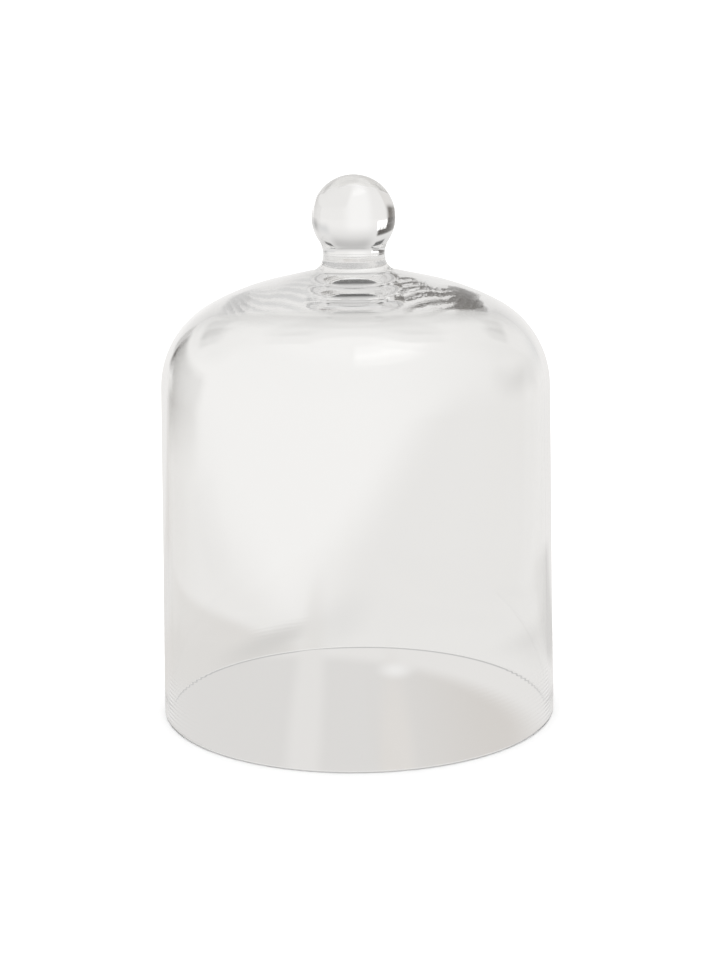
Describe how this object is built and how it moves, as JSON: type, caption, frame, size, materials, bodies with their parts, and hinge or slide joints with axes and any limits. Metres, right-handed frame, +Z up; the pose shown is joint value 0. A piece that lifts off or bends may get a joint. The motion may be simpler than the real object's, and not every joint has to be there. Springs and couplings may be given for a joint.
{
  "type": "bell jar dome",
  "caption": "Tall clear-glass bell jar dome, open at the foot, with a soft shoulder, a low crown and a solid glass ball knob on a short neck.",
  "frame": {"origin": "centre of the foot, in the plane that the rim rests on", "axes": "+Z up along the axis of the bell, from the foot to the knob"},
  "size_m": [0.1999, 0.2, 0.2716],
  "materials": {
    "shell_glass": "clear, blown, with faint tool rings on the crown and near the foot",
    "collar_glass": "clear, fire-polished",
    "knob_glass": "clear, solid, fire-polished"
  },
  "bodies": {
    "root": {"bell_shell": "shell_glass", "neck_collar": "collar_glass", "knob": "knob_glass"}
  },
  "joints": []
}
